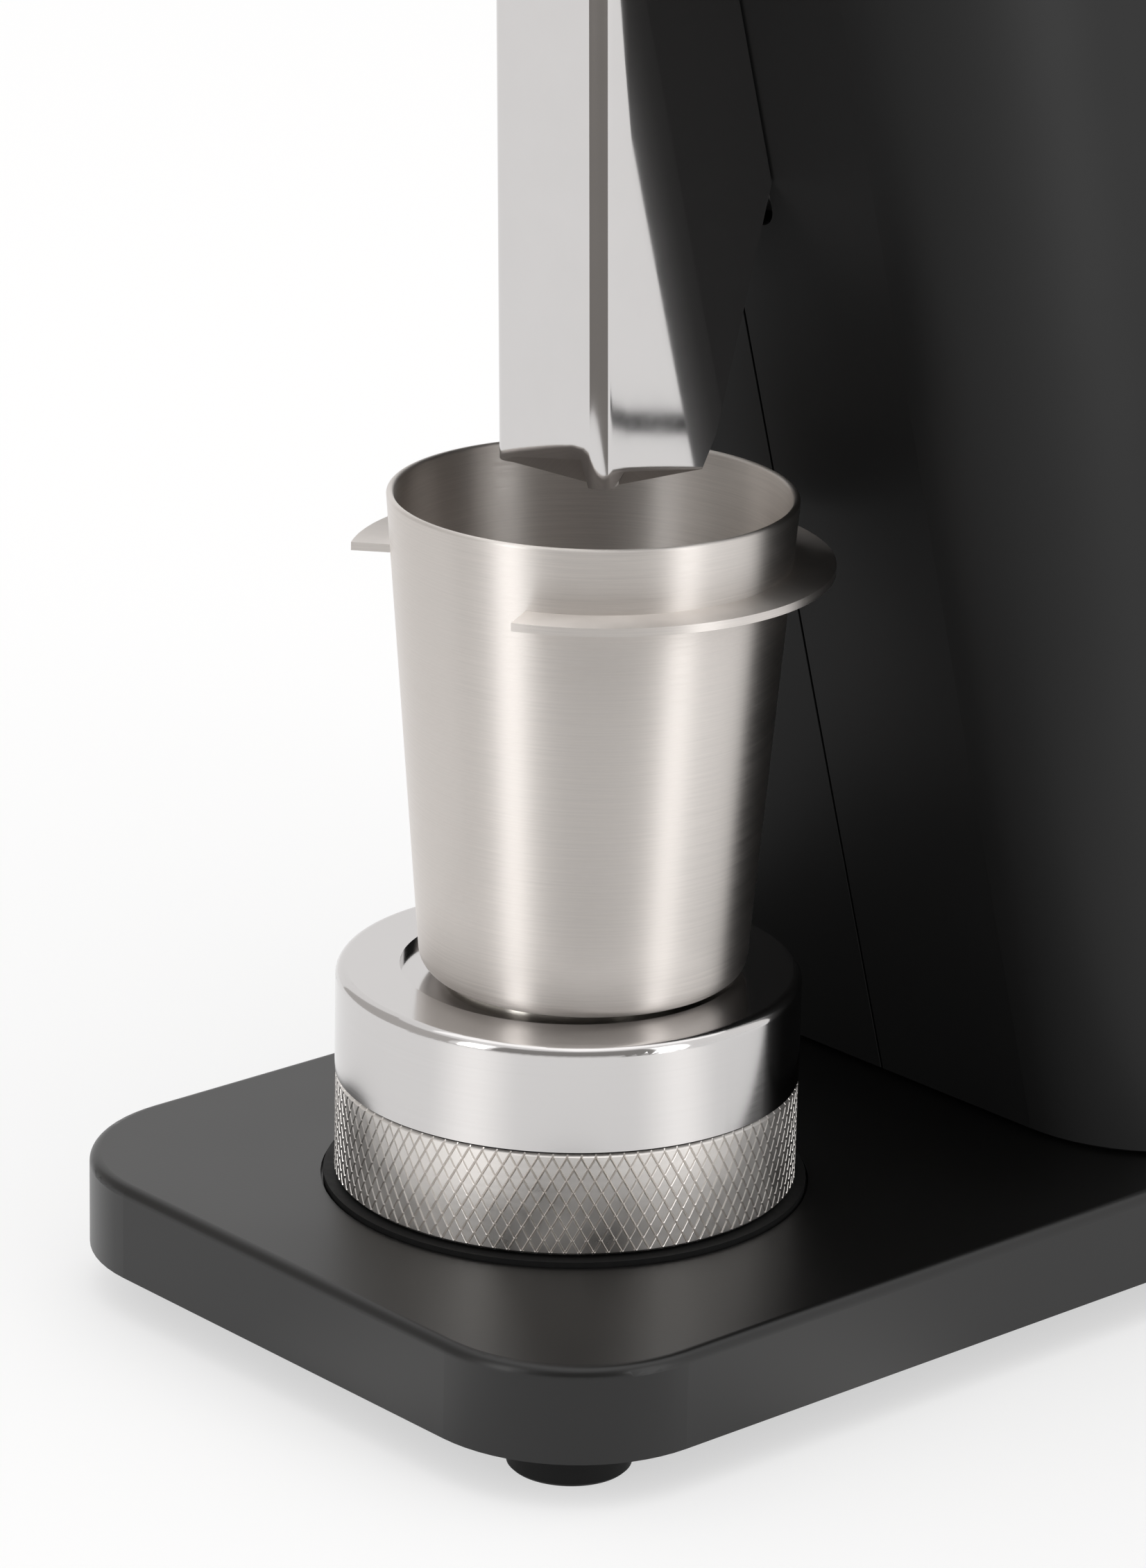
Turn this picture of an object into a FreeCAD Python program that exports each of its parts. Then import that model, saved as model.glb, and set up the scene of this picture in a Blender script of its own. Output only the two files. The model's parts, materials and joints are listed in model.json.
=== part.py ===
"""Single-dose coffee grinder with a leaning body, a mirror chute and a height-adjustable pedestal.

Row frame: millimetres, +Z up, origin on the ground below the middle of the base plate.
The front, with the pedestal and the cup, is at -Y and the grinder's width lies along X.

Three places are used, and every sub-part is drawn in one of them:
  row       the row frame itself
  pedestal  origin where the pedestal's axis meets the base plate's top
  head      origin where the body's axis meets the base plate's top, with z up the leaning axis
"""
import FreeCAD
import Part
import Sketcher
import math
import os

V = FreeCAD.Vector

DIMENSIONS = {
    # base plate and feet
    "foot_radius": 8.7,
    "foot_height": 6.7,
    "foot_chamfer": 0.4,
    "foot_inset_x": 18.0,
    "foot_inset_y": 18.3,
    "base_width": 118.0,
    "base_length": 253.0,
    "base_thickness": 14.15,
    "base_corner": 23.5,
    "base_edge": 1.6,
    "trough_width": 54.0,
    "trough_length": 214.0,
    "trough_depth": 8.0,
    "cover_thickness": 2.0,
    "cover_gap": 0.3,
    "screw_radius": 2.0,
    "screw_hole_clearance": 0.1,
    "post_screw_x": 12.0,
    "floor_screw_x": 18.0,
    "floor_screw_y": 30.0,
    "wire_hole_radius": 5.0,
    # pedestal
    "pedestal_setback": 53.3,
    "groove_radius": 35.4,
    "gasket_radius": 35.0,
    "groove_inner": 31.5,
    "groove_depth": 1.0,
    "gasket_stand": 0.7,
    "ring_radius": 33.4,
    "ring_low": 1.0,
    "ring_high": 16.2,
    "ring_chamfer": 0.7,
    "post_radius": 22.0,
    "post_top": 14.7,
    "post_flange_radius": 28.0,
    "post_flange": 3.0,
    "running_gap": 0.05,
    "platform_radius": 33.5,
    "platform_low": 16.6,
    "platform_high": 32.2,
    "platform_edge": 1.5,
    "recess_radius": 24.3,
    "recess_depth": 1.2,
    "puck_radius": 18.0,
    "puck_height": 4.0,
    "stem_radius": 9.0,
    "stem_low": 6.0,
    # dosing cup
    "cup_rim_radius": 29.0,
    "cup_foot_radius": 23.4,
    "cup_rim": 102.8,
    "cup_wall": 1.0,
    "cup_corner": 3.2,
    "cup_offset_x": 1.6,
    "cup_offset_y": 1.2,
    "collar_radius": 34.3,
    "collar_low": 92.2,
    "collar_thickness": 1.2,
    "collar_gap_angle": 79.0,
    "collar_gap_centre": 260.0,
    # chute
    "chute_half_width": 11.3,
    "chute_front": -6.4,
    "chute_low": 106.3,
    "chute_high": 256.0,
    "chute_front_slope": 0.0315,
    "chute_heel": 14.5,
    "chute_heel_rise": 1.7,
    "chute_knee": 145.5,
    "chute_gap": 0.3,
    "chute_wall": 1.2,
    "chute_bend": 2.4,
    "tab_width": 12.0,
    # body shell, along its own leaning axis
    "lean_angle": 15.3,
    "body_face": 64.6,
    "body_width": 114.0,
    "body_depth": 112.0,
    "body_corner": 25.5,
    "body_wall": 4.0,
    "body_low": -22.0,
    "body_top": 300.0,
    "seam_width": 0.5,
    "seam_depth": 0.5,
    "joint_gap": 0.6,
    "slot_half_width": 10.0,
    "slot_corner": 3.0,
    "slot_low": 158.8,
    "slot_high": 276.0,
    "bracket_thickness": 2.5,
    "bracket_half_width": 14.0,
    "magnet_radius": 4.0,
    "floor_thickness": 4.0,
    "floor_inset": 8.0,
    "floor_corner": 14.0,
    # motor
    "motor_radius": 42.0,
    "motor_wall": 2.0,
    "motor_low": 72.0,
    "motor_high": 192.0,
    "bell_thickness": 8.0,
    "stator_inner": 24.4,
    "stator_low": 100.0,
    "stator_high": 170.0,
    "winding_inner": 26.5,
    "winding_outer": 38.0,
    "winding_length": 12.0,
    "rotor_radius": 24.0,
    "shaft_radius": 6.0,
        "shaft_high": 245.0,
    "bearing_radius": 16.0,
    "bearing_height": 10.0,
    "deck_thickness": 10.0,
    "deck_gap": 0.5,
    # grinding chamber
    "chamber_radius": 46.0,
    "chamber_bore": 40.0,
    "chamber_low": 222.0,
    "chamber_floor": 6.0,
    "chamber_high": 262.0,
    "port_half_width": 7.0,
    "port_low": 230.0,
    "port_high": 250.0,
    "port_lining": 0.8,
    "carrier_radius": 37.5,
    "carrier_low": 231.0,
    "carrier_high": 238.0,
    "sweeper_reach": 39.4,
    "burr_radius": 32.0,
    "burr_bore": 17.0,
    "burr_thickness": 8.0,
    "burr_gap": 0.4,
    "burr_tooth_depth": 1.6,
    "burr_tooth_width": 3.0,
    "upper_carrier_radius": 39.5,
    "carrier_guide": 16.3,
    "carrier_flange": 3.7,
    "carrier_flange_radius": 47.5,
    "neck_outer": 37.2,
    "neck_inner": 33.0,
    "neck_high": 296.0,
    "throat_radius": 15.0,
    "spring_circle": 43.0,
    "spring_outer": 2.4,
    "spring_inner": 1.4,
    # top, dial, hopper and lid
    "deck_top": 306.0,
    "cover_bore": 41.0,
    "dial_radius": 52.0,
    "dial_bore": 37.3,
    "dial_sleeve": 40.5,
    "dial_sleeve_low": 277.0,
    "dial_low": 306.5,
    "dial_high": 328.0,
    "dial_flute_radius": 1.5,
    "dial_flutes": 48,
    "hopper_radius": 38.0,
    "hopper_spigot": 32.5,
    "hopper_throat": 30.0,
    "hopper_low": 300.0,
    "hopper_skirt": 328.5,
    "hopper_flange_radius": 49.0,
    "hopper_flange": 3.0,
    "hopper_high": 366.0,
    "hopper_wall": 2.0,
    "lid_radius": 40.0,
    "lid_thickness": 3.0,
    "lid_plug": 35.5,
    "lid_plug_depth": 5.0,
    "knob_radius": 9.0,
    "knob_height": 10.0,
    # rear panel, inlet and switch
    "panel_width": 60.0,
    "panel_low": 22.0,
    "panel_high": 92.0,
    "panel_thickness": 2.5,
    "panel_corner": 6.0,
    "inlet_width": 27.5,
    "inlet_height": 20.0,
    "inlet_centre": 40.0,
    "inlet_depth": 22.0,
    "socket_width": 24.0,
    "socket_height": 16.5,
    "socket_depth": 18.0,
    "pin_length": 9.0,
    "switch_width": 19.0,
    "switch_height": 13.0,
    "switch_centre": 72.0,
    "switch_depth": 16.0,
    "rocker_width": 15.4,
    "rocker_height": 9.6,
    # electronics
    "board_width": 64.0,
    "board_length": 50.0,
    "board_thickness": 1.6,
    "board_rise": 11.0,
    "capacitor_radius": 11.0,
    "capacitor_length": 24.0,
    "standoff_radius": 3.0,
    "standoff_x": 28.0,
    "standoff_y": 21.0,
}

doc = FreeCAD.newDocument("CoffeeGrinder")
sheet = doc.addObject("Spreadsheet::Sheet", "dim")
for row, (alias, number) in enumerate(DIMENSIONS.items(), start=1):
    sheet.set(f"A{row}", alias)
    sheet.set(f"B{row}", str(number))
    sheet.setAlias(f"B{row}", alias)
doc.recompute()

# Expressions used in several places
BASE_TOP = "(dim.foot_height + dim.base_thickness)"
PEDESTAL_Y = "(dim.pedestal_setback - dim.base_length / 2)"
HEAD_Y = (f"({PEDESTAL_Y} + dim.body_face"
          " + dim.body_depth / 2 / cos(dim.lean_angle * 1deg))")
TOOTH_PLANE = "(dim.carrier_high + dim.burr_thickness)"
UPPER_BURR_LOW = f"({TOOTH_PLANE} + dim.burr_gap)"
UPPER_BURR_HIGH = f"({UPPER_BURR_LOW} + dim.burr_thickness)"

nodes = {}


def value(expression):
    """The number that an expression over the dimensions has now."""
    return float(sheet.evalExpression(str(expression)))


def place(item, where):
    """Put a sub-part in the row, pedestal or head place."""
    if where == "pedestal":
        item.setExpression("Placement.Base.y", f"{PEDESTAL_Y} * 1mm")
        item.setExpression("Placement.Base.z", f"{BASE_TOP} * 1mm")
    elif where == "head":
        item.Placement = FreeCAD.Placement(V(0, 0, 0), FreeCAD.Rotation(V(1, 0, 0), 1))
        item.setExpression("Placement.Rotation.Angle", "dim.lean_angle * 1deg")
        item.setExpression("Placement.Base.y", f"{HEAD_Y} * 1mm")
        item.setExpression("Placement.Base.z", f"{BASE_TOP} * 1mm")


def new_body(name, where):
    """An empty body that is one named sub-part."""
    body = doc.addObject("PartDesign::Body", name)
    body.Label = name
    place(body, where)
    nodes[name] = body
    return body


def new_sketch(body, role, offset="0"):
    """A sketch on one of the body's own origin planes, moved along its normal."""
    sketch = body.newObject("Sketcher::SketchObject", f"{body.Name}_sketch")
    plane = next(item for item in body.Origin.OriginFeatures if item.Role == role)
    sketch.AttachmentSupport = [(plane, "")]
    sketch.MapMode = "FlatFace"
    sketch.setExpression("AttachmentOffset.Base.z", f"({offset}) * 1mm")
    return sketch


def pin_point(sketch, geometry, point, x, y):
    """Fix a sketch point at two expressions."""
    for kind, expression in (("DistanceX", x), ("DistanceY", y)):
        number = value(expression)
        index = sketch.addConstraint(Sketcher.Constraint(kind, -1, 1, geometry, point, number))
        sketch.setExpression(f"Constraints[{index}]", str(expression))


def draw_polygon(sketch, points):
    """A closed outline of straight sides through points given as expressions."""
    first = sketch.GeometryCount
    corners = [V(value(x), value(y), 0) for x, y in points]
    count = len(corners)
    for i in range(count):
        sketch.addGeometry(Part.LineSegment(corners[i], corners[(i + 1) % count]), False)
    for i in range(count):
        following = first + (i + 1) % count
        sketch.addConstraint(Sketcher.Constraint("Coincident", first + i, 2, following, 1))
    for i, (x, y) in enumerate(points):
        pin_point(sketch, first + i, 1, x, y)


def draw_rectangle(sketch, low_x, low_y, high_x, high_y):
    """A rectangle between two corners."""
    draw_polygon(sketch, [(low_x, low_y), (high_x, low_y), (high_x, high_y), (low_x, high_y)])


def draw_circle(sketch, radius, x="0", y="0"):
    """A circle with its centre and radius given as expressions."""
    circle = Part.Circle(V(value(x), value(y), 0), V(0, 0, 1), value(radius))
    index = sketch.addGeometry(circle, False)
    pin_point(sketch, index, 3, x, y)
    constraint = sketch.addConstraint(Sketcher.Constraint("Radius", index, value(radius)))
    sketch.setExpression(f"Constraints[{constraint}]", str(radius))


def draw_rounded(sketch, half_width, half_depth, radius):
    """A rounded rectangle centred on the sketch's origin, from four sides and four arcs."""
    first = sketch.GeometryCount
    w, d, r = value(half_width), value(half_depth), value(radius)
    sides = [((-w + r, -d), (w - r, -d)), ((w, -d + r), (w, d - r)),
             ((w - r, d), (-w + r, d)), ((-w, d - r), (-w, -d + r))]
    centres = [(w - r, -d + r), (w - r, d - r), (-w + r, d - r), (-w + r, -d + r)]
    for start, end in sides:
        sketch.addGeometry(Part.LineSegment(V(*start, 0), V(*end, 0)), False)
    for i, (x, y) in enumerate(centres):
        circle = Part.Circle(V(x, y, 0), V(0, 0, 1), r)
        begin = math.radians(-90 + 90 * i)
        sketch.addGeometry(Part.ArcOfCircle(circle, begin, begin + math.pi / 2), False)
    for i in range(4):
        side, arc, following = first + i, first + 4 + i, first + (i + 1) % 4
        sketch.addConstraint(Sketcher.Constraint("Tangent", side, 2, arc, 1))
        sketch.addConstraint(Sketcher.Constraint("Tangent", arc, 2, following, 1))
    pin_point(sketch, first + 4, 3, f"{half_width} - {radius}", f"-{half_depth} + {radius}")
    pin_point(sketch, first + 6, 3, f"-{half_width} + {radius}", f"{half_depth} - {radius}")
    index = sketch.addConstraint(Sketcher.Constraint("Radius", first + 4, r))
    sketch.setExpression(f"Constraints[{index}]", radius)


def pad(body, sketch, length, both_ways=False):
    """Add material from a sketch."""
    feature = body.newObject("PartDesign::Pad", f"{body.Name}_pad")
    feature.Profile = sketch
    feature.Length = value(length)
    feature.setExpression("Length", f"({length}) * 1mm")
    feature.Midplane = both_ways
    return feature


def pocket(body, sketch, length, both_ways=False, reverse=False):
    """Remove material from a sketch, and make sure that something was removed."""
    doc.recompute()
    before = body.Shape.Volume
    feature = body.newObject("PartDesign::Pocket", f"{body.Name}_pocket")
    feature.Profile = sketch
    feature.Length = value(length)
    feature.setExpression("Length", f"({length}) * 1mm")
    feature.Midplane = both_ways
    feature.Reversed = reverse
    doc.recompute()
    if body.Shape.Volume > before - 1e-3:
        raise RuntimeError(f"a pocket of {body.Name} removes nothing")
    return feature


def revolve(body, sketch, angle="360"):
    """Turn a sketch on the XZ plane about the body's Z axis."""
    feature = body.newObject("PartDesign::Revolution", f"{body.Name}_turn")
    feature.Profile = sketch
    feature.ReferenceAxis = (sketch, ["V_Axis"])
    feature.Angle = value(angle)
    feature.setExpression("Angle", f"({angle}) * 1deg")
    return feature


def round_edges(body, chosen, radius, kind="PartDesign::Fillet"):
    """Fillet or chamfer the edges of the body's tip for which chosen(edge) is true."""
    doc.recompute()
    base = body.Tip
    names = [f"Edge{i}" for i, edge in enumerate(base.Shape.Edges, start=1) if chosen(edge)]
    if not names:
        raise RuntimeError(f"no edges chosen on {body.Name}")
    feature = body.newObject(kind, f"{body.Name}_edges")
    feature.Base = (base, names)
    target = "Radius" if kind.endswith("Fillet") else "Size"
    feature.setExpression(target, f"({radius}) * 1mm")
    return feature


def pattern(body, features, count):
    """Repeat features evenly about the body's Z axis."""
    doc.recompute()
    feature = body.newObject("PartDesign::PolarPattern", f"{body.Name}_pattern")
    feature.Originals = features
    axis = next(item for item in body.Origin.OriginFeatures if item.Role == "Z_Axis")
    feature.Axis = (axis, [""])
    feature.Angle = 360
    feature.setExpression("Occurrences", str(count))
    body.Tip = feature
    return feature


def is_vertical(edge):
    """True for a straight edge along the body's Z axis."""
    low, high = edge.BoundBox.ZMin, edge.BoundBox.ZMax
    return abs(high - low - edge.Length) < 1e-6 and edge.Length > 1e-3


def at_height(z):
    """A test for edges that lie flat at a height in the body."""
    return lambda edge: abs(edge.BoundBox.ZMin - z) < 1e-4 and abs(edge.BoundBox.ZMax - z) < 1e-4


def is_bore(edge, radius):
    """True for a full circle of a radius about the body's axis."""
    return abs(edge.Length - 2 * math.pi * radius) < 1e-3


def turned(name, where, profile, x="0", y="0"):
    """A sub-part turned about Z from a profile of (radius, height) expressions."""
    body = new_body(name, where)
    sketch = new_sketch(body, "XZ_Plane")
    draw_polygon(sketch, profile)
    revolve(body, sketch)
    if x != "0" or y != "0":
        base_y = f"({PEDESTAL_Y} + {y}) * 1mm" if where == "pedestal" else f"({y}) * 1mm"
        body.setExpression("Placement.Base.x", f"({x}) * 1mm")
        body.setExpression("Placement.Base.y", base_y)
    return body


def ring(name, where, inner, outer, low, high):
    """A plain ring, or a disc where the inner radius is 0."""
    return turned(name, where, [(inner, low), (outer, low), (outer, high), (inner, high)])


def block(name, where, low_x, low_y, high_x, high_y, low_z, high_z):
    """A rectangular block between two corners."""
    body = new_body(name, where)
    sketch = new_sketch(body, "XY_Plane", low_z)
    draw_rectangle(sketch, low_x, low_y, high_x, high_y)
    pad(body, sketch, f"{high_z} - ({low_z})")
    return body


def grouped(name, where, shapes):
    """Several equal pieces in one node, from shapes drawn in the same place."""
    item = doc.addObject("Part::Feature", name)
    item.Label = name
    item.Shape = Part.makeCompound(shapes)
    place(item, where)
    nodes[name] = item
    return item


def screw(x, y, head_z, length):
    """An upright socket screw whose head's lower face is at head_z."""
    shank = value("dim.screw_radius")
    foot = V(x, y, head_z)
    solid = Part.makeCylinder(1.8 * shank, 2 * shank, foot)
    solid = solid.fuse(Part.makeCylinder(shank, length, foot))
    return solid.cut(Part.makeCylinder(0.8 * shank, shank, foot)).removeSplitter()


# ---------------------------------------------------------------- base plate, cover and feet

def make_base():
    """Solid plate with a wiring trough below, a gasket groove and the screw and wire holes."""
    body = new_body("base_plate", "row")
    outline = new_sketch(body, "XY_Plane", "dim.foot_height")
    draw_rectangle(outline, "-dim.base_width / 2", "-dim.base_length / 2",
                   "dim.base_width / 2", "dim.base_length / 2")
    pad(body, outline, "dim.base_thickness")
    round_edges(body, is_vertical, "dim.base_corner")
    round_edges(body, at_height(value(BASE_TOP)), "dim.base_edge")
    trough = new_sketch(body, "XY_Plane", "dim.foot_height")
    draw_rectangle(trough, "-dim.trough_width / 2", "-dim.trough_length / 2",
                   "dim.trough_width / 2", "dim.trough_length / 2")
    pocket(body, trough, "dim.trough_depth", reverse=True)
    groove = new_sketch(body, "XY_Plane", BASE_TOP)
    draw_circle(groove, "dim.groove_radius", "0", PEDESTAL_Y)
    draw_circle(groove, "dim.groove_inner", "0", PEDESTAL_Y)
    pocket(body, groove, "dim.groove_depth")
    holes = new_sketch(body, "XY_Plane", BASE_TOP)
    for side in ("", "-"):
        draw_circle(holes, "dim.screw_radius + dim.screw_hole_clearance",
                    f"{side}dim.post_screw_x", PEDESTAL_Y)
        for back in (f"{HEAD_Y} - dim.floor_screw_y", f"{HEAD_Y} + dim.floor_screw_y"):
            draw_circle(holes, "dim.screw_radius + dim.screw_hole_clearance",
                        f"{side}dim.floor_screw_x", back)
    draw_circle(holes, "dim.wire_hole_radius", "0", HEAD_Y)
    pocket(body, holes, "dim.base_thickness")


def make_base_cover():
    """Flat plate that closes the trough, flush with the underside."""
    body = new_body("base_cover", "row")
    sketch = new_sketch(body, "XY_Plane", "dim.foot_height")
    half_width = "(dim.trough_width / 2 - dim.cover_gap)"
    half_length = "(dim.trough_length / 2 - dim.cover_gap)"
    draw_rectangle(sketch, f"-{half_width}", f"-{half_length}", half_width, half_length)
    pad(body, sketch, "dim.cover_thickness")


def make_feet():
    """Four turned rubber feet with a chamfered lower edge."""
    reach_x = "(dim.base_width / 2 - dim.foot_inset_x)"
    reach_y = "(dim.base_length / 2 - dim.foot_inset_y)"
    corners = {"front_left": ("-", "-"), "front_right": ("", "-"),
               "rear_left": ("-", ""), "rear_right": ("", "")}
    profile = [("0", "0"), ("dim.foot_radius - dim.foot_chamfer", "0"),
               ("dim.foot_radius", "dim.foot_chamfer"),
               ("dim.foot_radius", "dim.foot_height"), ("0", "dim.foot_height")]
    for corner, (side_x, side_y) in corners.items():
        turned(f"foot_{corner}", "row", profile, f"{side_x}{reach_x}", f"{side_y}{reach_y}")


# ---------------------------------------------------------------- pedestal

def make_pedestal():
    """Gasket, guide post, height ring, platform and the magnet under the cup."""
    ring("pedestal_gasket", "pedestal", "dim.groove_inner + 0.4", "dim.gasket_radius",
         "-dim.groove_depth", "dim.gasket_stand")

    # The post stands on the base. The platform's stem slides in its bore.
    post = turned("pedestal_post", "pedestal", [
        ("dim.stem_radius + dim.running_gap", "0"),
        ("dim.post_flange_radius", "0"),
        ("dim.post_flange_radius", "dim.post_flange"),
        ("dim.post_radius", "dim.post_flange"),
        ("dim.post_radius", "dim.post_top"),
        ("dim.stem_radius + dim.running_gap", "dim.post_top")])
    holes = new_sketch(post, "XY_Plane", "0")
    for side in ("", "-"):
        draw_circle(holes, "dim.screw_radius - dim.screw_hole_clearance",
                    f"{side}dim.post_screw_x", "0")
    pocket(post, holes, "dim.post_top - 4", reverse=True)

    bore = "dim.post_radius + dim.running_gap"
    turned("knurled_ring", "pedestal", [
        ("dim.post_flange_radius + 0.4", "dim.ring_low"),
        ("dim.ring_radius - dim.ring_chamfer", "dim.ring_low"),
        ("dim.ring_radius", "dim.ring_low + dim.ring_chamfer"),
        ("dim.ring_radius", "dim.ring_high - dim.ring_chamfer"),
        ("dim.ring_radius - dim.ring_chamfer", "dim.ring_high"),
        (bore, "dim.ring_high"),
        (bore, "dim.post_flange + 0.4"),
        ("dim.post_flange_radius + 0.4", "dim.post_flange + 0.4")])

    platform = turned("cup_platform", "pedestal", [
        ("0", "dim.stem_low"),
        ("dim.stem_radius", "dim.stem_low"),
        ("dim.stem_radius", "dim.platform_low"),
        ("dim.platform_radius", "dim.platform_low"),
        ("dim.platform_radius", "dim.platform_high"),
        ("dim.recess_radius", "dim.platform_high"),
        ("dim.recess_radius", "dim.platform_high - dim.recess_depth"),
        ("dim.puck_radius", "dim.platform_high - dim.recess_depth"),
        ("dim.puck_radius", "dim.platform_high - dim.puck_height"),
        ("0", "dim.platform_high - dim.puck_height")])
    top = value("dim.platform_high")
    outer = value("dim.platform_radius")
    round_edges(platform, lambda edge: at_height(top)(edge)
                and abs(edge.BoundBox.XMax - outer) < 1e-4, "dim.platform_edge")

    ring("cup_magnet", "pedestal", "0", "dim.puck_radius",
         "dim.platform_high - dim.puck_height", "dim.platform_high")


# ---------------------------------------------------------------- dosing cup

def make_cup():
    """Thin tapered cup, open at the top, with a rounded lower corner."""
    body = new_body("dosing_cup", "pedestal")
    body.setExpression("Placement.Base.x", "dim.cup_offset_x * 1mm")
    body.setExpression("Placement.Base.y", f"({PEDESTAL_Y} + dim.cup_offset_y) * 1mm")
    sketch = new_sketch(body, "XZ_Plane")
    draw_polygon(sketch, [
        ("0", "dim.platform_high"),
        ("dim.cup_foot_radius", "dim.platform_high"),
        ("dim.cup_rim_radius", "dim.cup_rim"),
        ("dim.cup_rim_radius - dim.cup_wall", "dim.cup_rim"),
        ("dim.cup_foot_radius - dim.cup_wall", "dim.platform_high + dim.cup_wall"),
        ("0", "dim.platform_high + dim.cup_wall")])
    revolve(body, sketch)
    low = value("dim.platform_high")
    wall = value("dim.cup_wall")
    round_edges(body, at_height(low), "dim.cup_corner")
    round_edges(body, at_height(low + wall), "dim.cup_corner - dim.cup_wall")


def make_cup_collar():
    """Thin locating flange pressed on the cup under its rim, open over one stretch."""
    body = new_body("cup_collar", "pedestal")
    body.setExpression("Placement.Base.x", "dim.cup_offset_x * 1mm")
    body.setExpression("Placement.Base.y", f"({PEDESTAL_Y} + dim.cup_offset_y) * 1mm")
    sketch = new_sketch(body, "XZ_Plane")
    taper = "((dim.cup_rim_radius - dim.cup_foot_radius) / (dim.cup_rim - dim.platform_high))"
    low_bore = f"dim.cup_rim_radius - {taper} * (dim.cup_rim - dim.collar_low)"
    high_bore = f"{low_bore} + {taper} * dim.collar_thickness"
    draw_polygon(sketch, [
        (low_bore, "dim.collar_low"),
        ("dim.collar_radius", "dim.collar_low"),
        ("dim.collar_radius", "dim.collar_low + dim.collar_thickness"),
        (high_bore, "dim.collar_low + dim.collar_thickness")])
    revolve(body, sketch)
    gap = new_sketch(body, "XY_Plane", "dim.collar_low + 2 * dim.collar_thickness")
    reach = 40
    points = [("0", "0")]
    for side in (-0.5, 0, 0.5):
        angle = f"(dim.collar_gap_centre + {side} * dim.collar_gap_angle) * 1deg"
        points.append((f"{reach} * cos({angle})", f"{reach} * sin({angle})"))
    draw_polygon(gap, points)
    pocket(body, gap, "4 * dim.collar_thickness")


# ---------------------------------------------------------------- chute

def face_y(height):
    """Where the body's leaning front face is at a height, in the pedestal place."""
    return f"(dim.body_face - ({height}) * tan(dim.lean_angle * 1deg))"


def chute_front(height):
    """Where the chute's front is at a height, in the pedestal place."""
    return f"(dim.chute_front - dim.chute_front_slope * (({height}) - dim.chute_low))"


def make_chute():
    """Rectangular duct: open below, and open behind where it covers the body's slot."""
    body = new_body("chute", "pedestal")
    heel_z = "(dim.chute_low + dim.chute_heel_rise)"
    outer = new_sketch(body, "YZ_Plane")
    draw_polygon(outer, [
        (chute_front("dim.chute_low"), "dim.chute_low"),
        ("dim.chute_heel - dim.chute_heel_rise", "dim.chute_low"),
        ("dim.chute_heel", heel_z),
        (f"{face_y('dim.chute_knee')} - dim.chute_gap", "dim.chute_knee"),
        (f"{face_y('dim.chute_high')} - dim.chute_gap", "dim.chute_high"),
        (chute_front("dim.chute_high"), "dim.chute_high")])
    pad(body, outer, "2 * dim.chute_half_width", both_ways=True)
    front = value(chute_front("dim.chute_low"))
    half = value("dim.chute_half_width")

    def on_front_corner(edge):
        box = edge.BoundBox
        tall = box.ZLength > 50
        return tall and abs(abs(box.XMin) - half) < 1e-4 and box.YMax < front + 0.1

    round_edges(body, on_front_corner, "dim.chute_bend")
    inner = new_sketch(body, "YZ_Plane")
    wall = "dim.chute_wall"
    draw_polygon(inner, [
        (f"{chute_front('dim.chute_low')} + {wall}", "dim.chute_low - 1"),
        (f"dim.chute_heel - 1.2 * {wall}", "dim.chute_low - 1"),
        (f"dim.chute_heel - 1.2 * {wall}", heel_z),
        (f"{face_y('dim.chute_knee')} - dim.chute_gap - 1.2 * {wall}", "dim.chute_knee"),
        (f"{face_y('dim.chute_knee')} + 2", f"dim.chute_knee + {wall}"),
        (f"{face_y('dim.chute_high')} + 2", f"dim.chute_high - {wall}"),
        (f"{chute_front('dim.chute_high')} + {wall}", f"dim.chute_high - {wall}")])
    pocket(body, inner, f"2 * (dim.chute_half_width - {wall})", both_ways=True)


def make_chute_tab():
    """Small tab behind the chute's knee, standing in the lower end of the body's slot."""
    body = new_body("chute_tab", "pedestal")
    sketch = new_sketch(body, "YZ_Plane")
    back = f"{face_y('dim.chute_knee')} - dim.chute_gap"
    draw_polygon(sketch, [
        (f"{back} - 0.6", "dim.chute_knee - 3.2"),
        (f"{back} + 2.6", "dim.chute_knee - 3.2"),
        (f"{back} + 2.0", "dim.chute_knee - 0.6"),
        (back, "dim.chute_knee - 0.4")])
    pad(body, sketch, "dim.tab_width", both_ways=True)


# ---------------------------------------------------------------- body shell

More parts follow.
